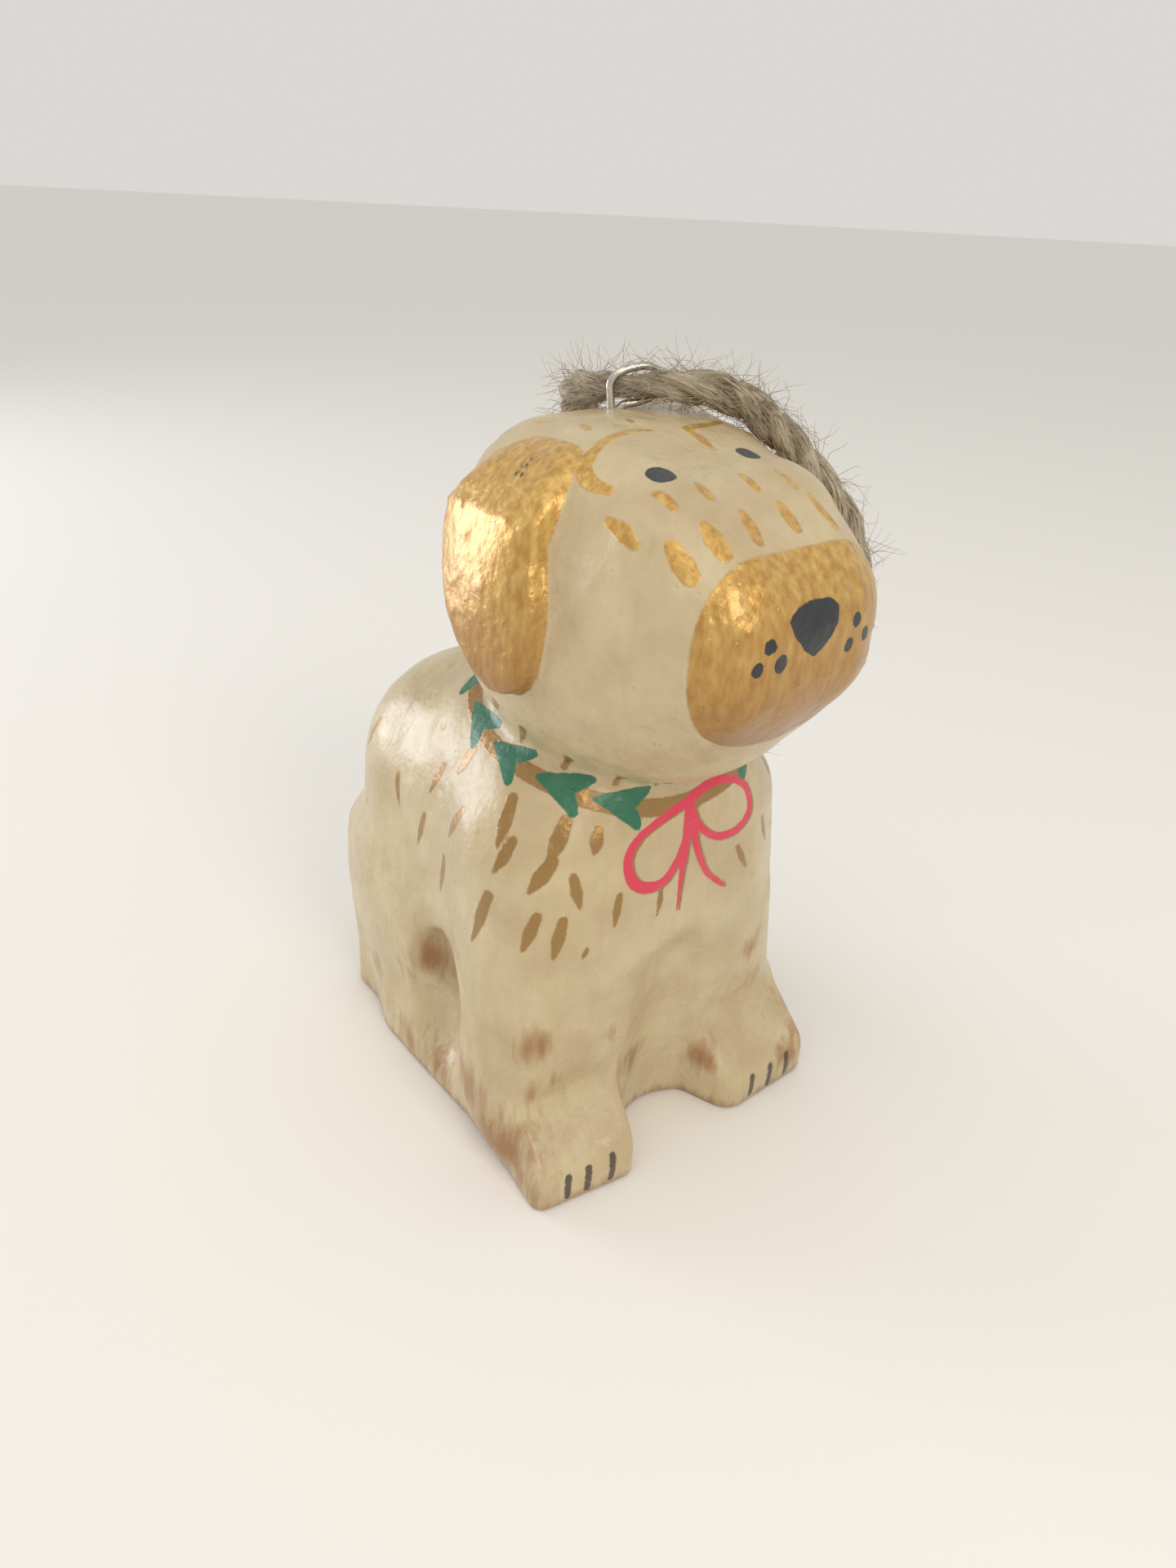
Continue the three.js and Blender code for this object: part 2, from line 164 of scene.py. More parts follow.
def paw(middle, half_width, turn):
    """A paw with its toes turned out by an angle, and a top that slopes down to them."""
    turn = math.radians(turn)

    def form(p):
        aside, ahead = p[:, 0] - middle[0], p[:, 1] - middle[1]
        own = np.stack(
            [
                aside * math.cos(turn) + ahead * math.sin(turn),
                ahead * math.cos(turn) - aside * math.sin(turn),
                p[:, 2],
            ],
            axis=1,
        )
        block = rounded_box((0, 0, 2), (half_width, 10.4, 14), 1.8)(own)
        above_slope = ((own[:, 1] + 9.4) - (own[:, 2] - 6.5)) * math.sqrt(0.5)
        return -soft_min(-block, above_slope, 1.6)

    return form


torso = join(4, join(8, trunk, haunches, legs), tail)
torso = carve(1.4, torso, flank_hollow, before_shins)
body = join(1.8, torso, paw((-16.1, -21.5), 8.3, -9), paw((16.1, -22.2), 10.2, 1))
body = carve(2.5, body, archway)


def curve_through(points, steps):
    """A smooth line through points, in any number of dimensions, steps pieces to each stretch."""
    p = np.array(points, float)
    p = np.vstack([2 * p[0] - p[1], p, 2 * p[-1] - p[-2]])
    t = np.linspace(0, 1, steps, endpoint=False)[:, None]
    stretches = []
    for a, b, c, d in zip(p, p[1:], p[2:], p[3:]):
        turn = 2 * a - 5 * b + 4 * c - d
        stretches.append(b + 0.5 * t * ((c - a) + t * (turn + t * (3 * (b - c) + d - a))))
    return np.vstack([*stretches, p[-2:-1]])


def bezier(start, first, second, end, steps=9):
    t = np.linspace(0, 1, steps, endpoint=False)[:, None]
    ends = np.outer((1 - t) ** 3, start) + np.outer(t**3, end)
    return ends + np.outer(3 * (1 - t) ** 2 * t, first) + np.outer(3 * (1 - t) * t**2, second)


def outside_of(outline, p):
    """The distance of flat points from a closed outline, negative inside it."""
    start, run = outline, np.roll(outline, -1, axis=0) - outline
    from_start = p[:, None] - start
    share = np.clip((from_start * run).sum(2) / (run * run).sum(1), 0, 1)
    away = np.linalg.norm(from_start - share[..., None] * run, axis=2).min(axis=1)
    above = from_start[..., 1] >= 0
    crosses = above != np.roll(above, -1, axis=1)
    at = start[:, 0] + from_start[..., 1] * run[:, 0] / np.where(run[:, 1] == 0, 1e-9, run[:, 1])
    inside = (crosses & (p[:, :1] < at)).sum(axis=1) % 2 == 1
    return np.where(inside, -away, away)


# The ear's outline from the side, in (Y, Z)
ear_outline = np.vstack(
    [
        bezier((-13, 98.8), (-18.5, 99.5), (-20.5, 93), (-19.5, 89)),
        bezier((-19.5, 89), (-19.5, 85), (-22.5, 82), (-21, 75)),
        bezier((-21, 75), (-19.5, 70.5), (-13.5, 69.5), (-10.5, 73.5)),
        bezier((-10.5, 73.5), (-6.5, 78.5), (0.5, 84), (-1.5, 90.5)),
        bezier((-1.5, 90.5), (-3.5, 95.5), (-8, 98), (-13, 98.8)),
    ]
)


def beside_ear(p):
    """How far points at the sides of the head are outside the ears' outline."""
    near = (np.abs(p[:, 0]) > 8) & (p[:, 2] > 62) & (np.abs(p[:, 1] + 10) < 18)
    away = np.full(len(p), 20.0)
    away[near] = outside_of(ear_outline, p[near][:, 1:])
    return away


def ears(p):
    stands_out = ear_thickness * np.clip((99 - p[:, 2]) / 8, 0.1, 1)
    return -soft_min(stands_out - head(p), -beside_ear(p), 1.6)


def figure(p):
    whole = soft_min(soft_min(body(p), head(p), 2), ears(p), 0.9)
    return -soft_min(-whole, p[:, 2], 0.8)


def slope_of(form, p):
    probe = 0.05 * np.eye(3)
    return np.stack([form(p + step) - form(p - step) for step in probe], axis=1) / 0.1


def laid_on(form, p, rounds=4):
    """Points near a form, moved down its slope onto its surface."""
    for _ in range(rounds):
        slope = slope_of(form, p)
        steepness = np.maximum((slope**2).sum(axis=1), 0.05)
        p = p - slope * np.clip(form(p) / steepness, -1, 1)[:, None]
    return p


solid = bmesh.new()
solid.from_mesh(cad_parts["carved_dog"].data)
bmesh.ops.remove_doubles(solid, verts=solid.verts, dist=0.001 * MM)
rough = bpy.data.meshes.new("rough_carving")
solid.to_mesh(rough)
solid.free()
block = bpy.data.objects.new("block", rough)
bpy.context.scene.collection.objects.link(block)
even = block.modifiers.new("even_grid", "REMESH")
even.mode = "VOXEL"
even.voxel_size = grid_step * MM
bpy.context.view_layer.update()
dog_mesh = bpy.data.meshes.new_from_object(
    block.evaluated_get(bpy.context.evaluated_depsgraph_get())
)
bpy.data.objects.remove(block)

corners = np.zeros(len(dog_mesh.vertices) * 3)
dog_mesh.vertices.foreach_get("co", corners)
skin = laid_on(figure, corners.reshape(-1, 3) / MM - carving_middle)
outward = slope_of(figure, skin)
outward /= np.linalg.norm(outward, axis=1)[:, None]
skin_tree = kdtree.KDTree(len(skin))
for number, place in enumerate(skin):
    skin_tree.insert(place, number)
skin_tree.balance()


def dent(places, radii, depths):
    """Round dents, or lumps where the depth is below zero, pressed into the skin."""
    pressed = np.zeros(len(skin))
    for place, radius, depth in zip(places, radii, depths):
        for _, number, away in skin_tree.find_range(place, 2 * radius):
            pressed[number] -= depth * math.exp(-((away / radius) ** 2))
    return pressed


def scattered(count, where):
    """Places picked at random among the skin's points for which where holds."""
    return skin[seed.choice(np.flatnonzero(where), count)]


# Places on the painted surface are given as they are seen from one side: from the front and the
# back as (X, Z), from the left and the right as (Y, Z), from the top as (X, Y), and round the
# body as (degrees from straight ahead towards the dog's left, Z).
def from_side(side, places):
    a, b = np.array(places, float).T
    flat = np.zeros(len(a))
    if side == "round":
        turn = np.radians(a)
        inward = np.stack([-np.sin(turn), np.cos(turn), flat], axis=1)
        return np.stack([flat, flat, b], axis=1) - 50 * inward, inward
    starts = {
        "front": ((a, flat - 70, b), (0, 1, 0)),
        "back": ((a, flat + 60, b), (0, -1, 0)),
        "left": ((flat + 50, a, b), (-1, 0, 0)),
        "right": ((flat - 50, a, b), (1, 0, 0)),
        "top": ((a, b, flat + 120), (0, 0, -1)),
    }
    start, way = starts[side]
    return np.stack(start, axis=1), np.tile(np.array(way, float), (len(a), 1))


marks = []


def stroke(paint, side, places, widths):
    """A brush mark through places on one side, as wide as widths say along it."""
    line = curve_through(places, 4) if len(places) > 2 else np.array(places, float)
    start, way = from_side(side, line)
    share = np.linspace(0, 1, len(line))
    wide = np.interp(share, np.linspace(0, 1, len(widths)), widths)
    marks.append((paint, start, way, wide))


# Gold fur on the face: a curl round the right eye, a bent mark over the left one, and dabs that
# run down the bridge of the muzzle
stroke("gold", "top", [(-3.3, -18.2), (-5.4, -17.6), (-8.0, -17.6), (-10.4, -17.8)], [0.5, 0.9, 1.1])
stroke("gold", "top", [(-10.4, -17.8), (-12.4, -18.4), (-13.8, -19.0)], [1.1, 1.4, 1.8])
stroke("gold", "top", [(-13.8, -19.0), (-14.5, -20.2), (-14.5, -21.6), (-14.0, -23.6)], [1.8, 1.9, 1.2])
stroke("gold", "top", [(8.4, -17.2), (6.2, -17.8), (1.4, -18.7)], [0.7, 1.0, 1.1])
stroke("gold", "top", [(1.3, -19.2), (1.5, -21.3), (1.6, -23.3)], [1.0, 1.3, 0.5])
face_dabs = [
    ((-8.7, -12.0), (-9.2, -13.9), 0.8, 1.0),
    ((-3.9, -14.2), (-4.1, -15.6), 0.5, 0.7),
    ((-10.3, -5.6), (-9.8, -7.2), 0.9, 0.6),
    ((-11.9, -28.3), (-11.6, -31.0), 1.1, 1.3),
    ((-7.1, -29.5), (-7.0, -31.6), 0.9, 1.4),
    ((0.0, -29.2), (0.2, -31.5), 0.9, 1.2),
    ((5.0, -29.5), (5.8, -32.1), 0.6, 0.8),
    ((-13.5, -33.2), (-13.2, -36.0), 2.0, 2.4),
    ((-9.9, -34.0), (-9.6, -36.8), 1.5, 2.2),
    ((-4.2, -33.7), (-4.7, -36.8), 1.2, 1.8),
    ((1.7, -33.6), (1.7, -36.3), 1.3, 1.8),
    ((7.0, -33.2), (7.5, -36.8), 1.0, 1.3),
    ((12.4, -32.4), (12.6, -35.4), 1.0, 1.4),
]
for start, end, start_width, end_width in face_dabs:
    middle = np.add(start, end) / 2
    stroke("gold", "top", [start, middle, end], [start_width * 0.8, end_width, end_width * 0.85])
stroke("gold", "right", [(-25.7, 92.6), (-28.2, 92.0), (-30.0, 91.0)], [1.1, 2.0, 1.2])
stroke("gold", "left", [(-25.7, 92.6), (-28.4, 91.4), (-30.4, 90.6)], [1.1, 1.8, 1.0])

# Gold fur on the body: (turn, top, end turn, bottom, width), wide above and a point below
body_dabs = [
    (-76, 58.2, -80, 54.6, 1.7),
    (-69, 52.3, -75, 47.6, 1.8),
    (-78, 43.5, -84, 36.5, 1.6),
    (-55, 44.8, -60, 36.8, 2.0),
    (-52, 56.4, -54, 51.4, 2.1),
    (-50, 52.4, -54, 48.2, 1.8),
    (-37, 55.2, -41, 50.4, 2.2),
    (-40, 50.6, -45, 46.6, 2.2),
    (-35, 48.6, -33, 44.0, 1.6),
    (-43, 43.3, -46, 38.2, 1.8),
    (-37, 42.6, -39, 37.2, 1.8),
    (-29, 54.0, -30, 51.2, 1.8),
    (-23, 44.8, -24, 40.4, 1.3),
    (-10, 44.1, -11, 39.7, 1.0),
    (19, 45.0, 24, 40.6, 1.2),
    (31, 47.0, 34, 42.6, 1.2),
    (-31, 38.0, -32, 36.6, 0.8),
    (-117, 48.9, -115, 43.9, 1.3),
    (-97, 45.9, -102, 40.1, 1.3),
    (-90, 54.4, -95, 49.7, 1.5),
    (42, 54.0, 45, 49.6, 1.9),
    (52, 49.0, 56, 44.4, 1.8),
    (44, 45.0, 47, 40.2, 1.7),
    (66, 53.0, 70, 48.2, 1.8),
    (78, 46.6, 83, 40.6, 1.6),
    (62, 42.6, 66, 36.4, 1.7),
    (92, 53.6, 96, 49.0, 1.5),
    (104, 46.0, 107, 40.4, 1.4),
    (124, 52.0, 126, 47.0, 1.5),
    (142, 46.0, 143, 40.6, 1.4),
    (160, 53.0, 161, 48.4, 1.5),
    (178, 47.0, 179, 41.4, 1.4),
    (-166, 53.4, -167, 48.8, 1.5),
    (-150, 46.4, -151, 41.0, 1.4),
    (-136, 53.0, -138, 48.4, 1.4),
]
for turn, top, end_turn, bottom, width in body_dabs:
    middle = ((turn + end_turn) / 2, (top + bottom) / 2)
    ends = [(turn, top), middle, (end_turn, bottom)]
    stroke("gold", "round", ends, [0.75 * width, width, 0.3 * width])
under_head_dabs = [
    (-61, 67.4, -64, 65.6, 1.4),
    (-51, 65.0, -54, 61.8, 1.3),
    (-37, 62.8, -38, 60.6, 1.4),
    (-23, 61.0, -24, 59.2, 1.3),
    (-13, 60.6, -12, 58.6, 1.2),
    (24, 61.0, 26, 59.2, 1.3),
    (44, 63.0, 47, 60.6, 1.4),
]
for turn, top, end_turn, bottom, width in under_head_dabs:
    stroke("gold", "round", [(turn, top), (end_turn, bottom)], [width, 0.7 * width])

# The bow: two loops and two ends from a knot on the collar, in red over gold
bow_lines = [
    [
        (0, 55.0),
        (-4.6, 53.8),
        (-8.4, 52.3),
        (-10.3, 49.6),
        (-9.8, 46.5),
        (-7.6, 44.8),
        (-4.4, 45.0),
        (-2.1, 48.1),
        (-0.7, 51.7),
        (0, 54.6),
    ],
    [
        (0, 55.0),
        (3.8, 56.0),
        (7.9, 55.4),
        (11.2, 53.0),
        (11.6, 49.6),
        (8.9, 47.9),
        (4.8, 48.3),
        (1.5, 50.8),
        (0.1, 54.0),
    ],
    [(-0.1, 54.6), (-1.0, 50.4), (-1.6, 45.0), (-1.7, 39.2)],
    [(-0.2, 53.0), (1.0, 47.6), (3.6, 43.0), (7.4, 39.6)],
]
bow_widths = [
    [1.3, 1.1, 1.3, 1.7, 1.5, 1.0, 1.2],
    [1.6, 1.0, 1.3, 1.1, 1.1],
    [1.8, 1.2, 0.4],
    [1.3, 1.0, 0.7],
]
for line, widths in zip(bow_lines, bow_widths):
    shadow = [(across + 0.35, up - 0.15) for across, up in line]
    stroke("gold", "front", shadow, widths)
    stroke("red", "front", line, widths)

# Eyes, whisker dots and toes
stroke("black", "top", [(-9.4, -26.1), (-9.4, -26.8)], [2.9, 2.9])
stroke("black", "top", [(5.2, -24.7), (5.2, -25.4)], [2.5, 2.5])
for across, up, width in [
    (-7.6, 82.4, 1.5),
    (-8.8, 80.0, 1.5),
    (-5.7, 80.2, 1.9),
    (6.1, 82.9, 1.5),
    (5.2, 80.2, 1.5),
    (8.2, 80.9, 1.5),
]:
    stroke("black", "front", [(across, up + 0.15), (across, up - 0.15)], [width, width])
for across, top, bottom in [
    (-20.9, 4.6, 1.2),
    (-17.8, 4.8, 1.2),
    (-14.0, 5.2, 1.3),
    (13.9, 4.6, 1.4),
    (17.9, 4.6, 1.2),
    (21.8, 4.8, 1.5),
]:
    stroke("umber", "front", [(across, top), (across - 0.2, bottom)], [1.1, 1.0])
# Dark specks where the gold is worn off the right ear's highest edge
for along, up in [(-12.4, 96.6), (-11.9, 96.0), (-12.9, 96.0), (-12.2, 95.2), (-13.2, 95.3)]:
    stroke("umber", "right", [(along, up), (along - 0.3, up - 0.3)], [0.5, 0.4])

# The collar lies on the body, close under the head, and its leaves point away from the bow
collar_gap = 3.4
band_width = 2.4
collar_turns = np.radians(np.arange(0, 360, 4))
collar = np.stack(
    [20 * np.sin(collar_turns), -6 - 20 * np.cos(collar_turns), 58 + 0 * collar_turns], axis=1
)
for _ in range(12):
    collar = laid_on(body, collar, 1)
    collar = laid_on(lambda p: head(p) - collar_gap, collar, 1)
collar = laid_on(figure, collar)
collar_run = np.linalg.norm(np.roll(collar, -1, axis=0) - collar, axis=1)
collar_length = collar_run.sum()


def at_collar(way):
    """The collar's point that far round from the bow, and the directions along and up there."""
    ends = np.concatenate([[0], np.cumsum(collar_run)])
    closed = np.vstack([collar, collar[:1]])
    place, ahead = (
        np.array([np.interp((way + more) % collar_length, ends, closed[:, k]) for k in range(3)])
        for more in (0, 0.5)
    )
    along = (ahead - place) / np.linalg.norm(ahead - place)
    face = slope_of(figure, place[None])[0]
    up = np.cross(along, face)
    return place, along, up / np.linalg.norm(up) * (1 if up[2] > 0 else -1)


leaf_lines = [
    ([(-4.0, 0.6), (-2.2, 0.5), (-0.2, 0.3)], [0.4, 2.0, 3.1]),
    ([(-0.2, 0.6), (1.4, 1.5), (2.9, 2.5)], [2.9, 2.3, 1.2]),
    ([(-0.2, -0.1), (1.4, -1.2), (2.4, -2.2)], [2.7, 2.1, 1.2]),
]
leaf_strokes = []
for side, ways in ((-1, (10.5, 18.5, 27.5, 36.5, 46, 56)), (1, (12, 22, 31, 40.5, 50))):
    for way in ways:
        place, along, up = at_collar(side * way)
        for line, widths in leaf_lines:
            line = curve_through(line, 3)
            spots = place + np.outer(-side * line[:, 0], along) + np.outer(line[:, 1], up)
            wide = np.interp(np.linspace(0, 1, len(line)), np.linspace(0, 1, 3), widths)
            leaf_strokes.append(("green", laid_on(figure, spots), wide))

# Where each paint lies: for every point of the skin, how far in from the paint's edge it is
painted = {paint: np.full(len(skin), -5.0) for paint in ("gold", "green", "red", "black", "umber")}


def brush(paint, line, wide):
    """Adds one mark, a line of places on the skin with its width at each."""
    reach = wide.max() + 2
    inside = ((skin > line.min(axis=0) - reach) & (skin < line.max(axis=0) + reach)).all(axis=1)
    near = np.flatnonzero(inside)
    for start, end, width, end_width in zip(line, line[1:], wide, wide[1:]):
        run = end - start
        share = np.clip((skin[near] - start) @ run / max(run @ run, 1e-9), 0, 1)
        away = np.linalg.norm(skin[near] - start - share[:, None] * run, axis=1)
        depth = (width + share * (end_width - width)) / 2 - away
        painted[paint][near] = np.maximum(painted[paint][near], depth)


seen = np.vstack([start for _, start, _, _ in marks])
ways = np.vstack([way for _, _, way, _ in marks])
for _ in range(40):
    seen = seen + ways * (0.9 * figure(seen))[:, None]
first = 0
for paint, start, _, wide in marks:
    brush(paint, seen[first : first + len(start)], wide)
    first += len(start)
for paint, line, wide in leaf_strokes:
    brush(paint, line, wide)
brush("gold", np.vstack([collar, collar[:1]]), np.full(len(collar) + 1, band_width))

on_ear = np.minimum(0.35 - beside_ear(skin), np.abs(skin[:, 0]) - 12.5)
painted["gold"] = np.maximum(painted["gold"], on_ear)
muzzle_edge = -38.2
painted["gold"] = np.maximum(painted["gold"], muzzle_edge - skin[:, 1])
nose_outline = np.array(
    [
        (-4.7, 84.6),
        (-3.4, 85.5),
        (-1.0, 86.0),
        (1.7, 85.8),
        (2.7, 85.0),
        (2.4, 83.2),
        (0.8, 81.2),
        (-0.6, 80.2),
        (-2.2, 81.2),
        (-4.0, 83.2),
    ]
)
front = np.flatnonzero(skin[:, 1] < -40)
on_nose = 0.2 - outside_of(nose_outline, skin[front][:, [0, 2]])
painted["black"][front] = np.maximum(painted["black"][front], on_nose)

# Brown in the hollows and over the lower edges: partly a stain rubbed on with a nearly dry brush,
# partly painted shade in the recesses
stain_and_shade = np.zeros(len(skin))
for place, radius, strength in [
    ((-22.2, -24.4, 23.5), 3.2, 0.75),
    ((-22.4, -24.9, 16.0), 2.6, 0.6),
    ((-11.2, -26.5, 21.6), 2.2, 0.45),
    ((-19.4, -25.6, 16.8), 2.6, 0.5),
    ((-4.6, -23.5, 12.0), 3.6, 0.8),
    ((-7.4, -24.6, 6.0), 3.2, 0.7),
    ((7.4, -27.2, 8.4), 3.0, 0.95),
    ((7.6, -28.0, 13.0), 2.4, 0.6),
    ((17.1, -26.2, 24.2), 2.4, 0.8),
    ((19.6, -25.4, 17.8), 2.4, 0.5),
    ((-20.8, 2.4, 21.0), 3.6, 1.0),
    ((20.8, 2.4, 21.0), 3.6, 1.0),
    ((-23.1, 7.0, 16.4), 3.0, 0.5),
    ((-22.6, 18.4, 10.0), 4.0, 0.7),
    ((-23.0, -1.0, 4.0), 4.0, 0.8),
    ((-22.6, 8.0, 4.0), 4.0, 0.8),
    ((-26.4, -22.0, 6.0), 7.0, 1.0),
    ((-26.0, -27.0, 3.0), 4.0, 0.9),
    ((-25.4, -15.0, 12.0), 5.0, 0.9),
    ((26.6, -22.0, 6.0), 7.0, 1.0),
    ((22.4, -32.4, 4.6), 3.2, 0.95),
    ((26.0, -30.0, 5.0), 3.6, 0.9),
    ((0.0, 33.0, 4.0), 8.0, 0.7),
    ((22.6, 18.0, 6.0), 6.0, 0.8),
]:
    away = np.linalg.norm(skin - place, axis=1)
    stain_and_shade = np.maximum(stain_and_shade, strength * np.exp(-((away / radius) ** 2)))
# Darker in a band just above the sole
stain_and_shade = np.maximum(stain_and_shade, 0.7 * np.exp(-((skin[:, 2] / 2.0) ** 2)))

# Relief of the skin: uneven cuts all over, pores of the wood, and small lumps in the thick gold
# of the muzzle and the ears
wide_cuts = np.array([noise.noise(Vector(place) / 8) for place in skin])
narrow_cuts = np.array([noise.noise(Vector(place) / 3.5) for place in skin])
relief = 0.26 * (wide_cuts + 0.4 * narrow_cuts)


def pitted(count, where, radii, depths):
    """Dents at random places, with radii and depths between two sizes each."""
    places = scattered(count, where)
    return dent(places, seed.uniform(*radii, count), seed.uniform(*depths, count))


everywhere = np.full(len(skin), True)
on_muzzle = (skin[:, 1] < muzzle_edge) & (skin[:, 2] > 76)
relief += pitted(240, everywhere, (0.5, 0.8), (0.1, 0.3))
relief -= pitted(90, on_muzzle, (0.4, 0.6), (0.04, 0.16))
relief -= pitted(340, on_ear > 0.4, (0.4, 0.7), (0.02, 0.14))
above_sole = np.clip(skin[:, 2] / 2, 0, 1)
skin = skin + outward * (relief * above_sole)[:, None]

dog_mesh.vertices.foreach_set("co", ((skin + carving_middle) * MM).ravel())
for name, values in [*painted.items(), ("stain_and_shade", stain_and_shade)]:
    layer = dog_mesh.attributes.new(name, "FLOAT", "POINT")
    layer.data.foreach_set("value", values.astype(np.float32))
dog_mesh.shade_smooth()
dog = bpy.data.objects.new("dog_carving", dog_mesh)
bpy.context.scene.collection.objects.link(dog)


def linear(code):
    """An sRGB hex colour as Blender's linear one."""
    parts = [int(code[n : n + 2], 16) / 255 for n in (0, 2, 4)]
    return (*(c / 12.92 if c < 0.04045 else ((c + 0.055) / 1.055) ** 2.4 for c in parts), 1)


def add(tree, kind, settings=None, inputs=None):
    """A shader node of a kind, with its settings, and its inputs as values or as links."""
    made = tree.nodes.new("ShaderNode" + kind)
    for name, value in (settings or {}).items():
        setattr(made, name, value)
    for socket, value in (inputs or {}).items():
        if isinstance(value, bpy.types.NodeSocket):
            tree.links.new(value, made.inputs[socket])
        else:
            made.inputs[socket].default_value = value
    return made


def new_material(name):
    material = bpy.data.materials.new(name)
    material.use_nodes = True
    material.node_tree.nodes.clear()
    return material, material.node_tree


# Acrylic paint on primed wood, brushed on: satin, with open pores of the wood under it. The gold
# is a metallic acrylic, streaked by the brush. Patterns are in millimetres.
painted_wood, tree = new_material("acrylic_on_wood")
place = add(tree, "TexCoord").outputs["Object"]
in_mm = add(tree, "Mapping", inputs={"Vector": place, "Scale": (1000, 1000, 1000)}).outputs[0]


def noise_in_mm(size, detail=2, stretch=(1, 1, 1)):
    """Noise whose blotches are about size mm, drawn out along an axis by a stretch below 1."""
    drawn = add(tree, "Mapping", inputs={"Vector": in_mm, "Scale": stretch}).outputs[0]
    names = {"Vector": drawn, "Scale": 1 / size, "Detail": detail}
    return add(tree, "TexNoise", inputs=names).outputs[0]


def ramp(value, low, high, start=0.0, end=1.0):
    """A value between low and high, as a share from start to end."""
    names = {"Value": value, "From Min": low, "From Max": high, "To Min": start, "To Max": end}
    return add(tree, "MapRange", inputs=names).outputs[0]


def math_of(operation, a, b):
    return add(tree, "Math", {"operation": operation}, {0: a, 1: b}).outputs[0]


def mixed(share, a, b):
    return add(tree, "Mix", {"data_type": "RGBA"}, {0: share, 6: a, 7: b}).outputs[2]


def blended(share, a, b):
    return add(tree, "Mix", {"data_type": "FLOAT"}, {0: share, 2: a, 3: b}).outputs[0]


brush_noise = noise_in_mm(0.9, 3, (1, 1, 0.35))
edge_noise = noise_in_mm(0.6, 2)


def covered(paint, softness, wander):
    """Where a paint lies: its distance in from the edge, with an edge that wanders a little."""
    depth = add(tree, "Attribute", {"attribute_name": paint}).outputs["Fac"]
    wandered = math_of("ADD", depth, ramp(edge_noise, 0.3, 0.7, -wander, wander))
    return ramp(wandered, -softness, softness)


cream = mixed(ramp(noise_in_mm(9, 3), 0.35, 0.65), linear("BDA882"), linear("CBBA94"))
cream = mixed(ramp(noise_in_mm(1.6, 4, (1, 1, 0.3)), 0.45, 0.8, 0, 0.3), cream, linear("AF9870"))
# The brown: a real stain, with painted shade in the hollows, streaked like a dry brush
stain_and_shade_depth = add(tree, "Attribute", {"attribute_name": "stain_and_shade"}).outputs["Fac"]
streaks = noise_in_mm(1.3, 4, (1, 1, 0.22))
stain_and_shade_share = ramp(math_of("ADD", stain_and_shade_depth, ramp(streaks, 0.3, 0.7, -0.28, 0.28)), 0.25, 0.9)
color = mixed(math_of("MULTIPLY", stain_and_shade_share, 0.85), cream, linear("96652F"))
gold_share = covered("gold", 0.12, 0.06)
gold_color = mixed(ramp(brush_noise, 0.35, 0.7), linear("BE8E45"), linear("DCB767"))
height_up = add(tree, "SeparateXYZ", inputs={"Vector": in_mm}).outputs["Z"]
# Painted shade: the gold darker and browner lower down on the head, where it turns away from the light
gold_color = mixed(ramp(height_up, 68, 90, 0.85, 0), gold_color, linear("8E5F30"))
# Below the head the gold dabs are duller and browner: partly thinner paint, partly painted shade where
# they face away from the light
gold_color = mixed(ramp(height_up, 60, 66, 0.9, 0), gold_color, linear("9C7A44"))
color = mixed(gold_share, color, gold_color)
toes = covered("umber", 0.12, 0.1)
color = mixed(math_of("MULTIPLY", toes, 0.9), color, linear("33261E"))
for paint, shade in (("green", "1F6B4C"), ("red", "D8304E"), ("black", "20242A")):
    color = mixed(covered(paint, 0.07, 0.06), color, linear(shade))
flat_paint = math_of("MAXIMUM", covered("green", 0.07, 0.06), covered("black", 0.07, 0.06))
flat_paint = math_of("MAXIMUM", flat_paint, covered("red", 0.07, 0.06))
metal_share = math_of("MULTIPLY", gold_share, math_of("SUBTRACT", 1.0, flat_paint))
rough_paint = ramp(noise_in_mm(5, 3), 0.3, 0.7, 0.34, 0.48)
roughness = blended(metal_share, rough_paint, ramp(brush_noise, 0.3, 0.7, 0.3, 0.42))
cells = add(tree, "TexVoronoi", inputs={"Vector": in_mm, "Scale": 0.7, "Randomness": 1.0})
pores = cells.outputs["Distance"]
pore_depth = ramp(pores, 0.03, 0.2, -1, 0)
height = math_of("MULTIPLY", pore_depth, ramp(noise_in_mm(6, 2), 0.5, 0.62, 0, 0.12))
height = math_of("ADD", height, math_of("MULTIPLY", noise_in_mm(0.7, 3), 0.11))
height = math_of("ADD", height, math_of("MULTIPLY", noise_in_mm(3.0, 2), 0.4))
height = math_of("ADD", height, math_of("MULTIPLY", math_of("MAXIMUM", gold_share, flat_paint), 0.06))
bump = add(tree, "Bump", inputs={"Height": height, "Strength": 1.0, "Distance": MM}).outputs[0]
shader = add(
    tree,
    "BsdfPrincipled",
    inputs={
        "Base Color": color,
        "Roughness": roughness,
        "Metallic": math_of("MULTIPLY", metal_share, 0.45),
        "Coat Weight": 0.4,
        "Coat Roughness": 0.22,
        "IOR": 1.48,
        "Normal": bump,
    },
)
add(tree, "OutputMaterial", inputs={"Surface": shader.outputs[0]})
dog_mesh.materials.clear()
dog_mesh.materials.append(painted_wood)
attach(dog, "root")
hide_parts("carved_dog")

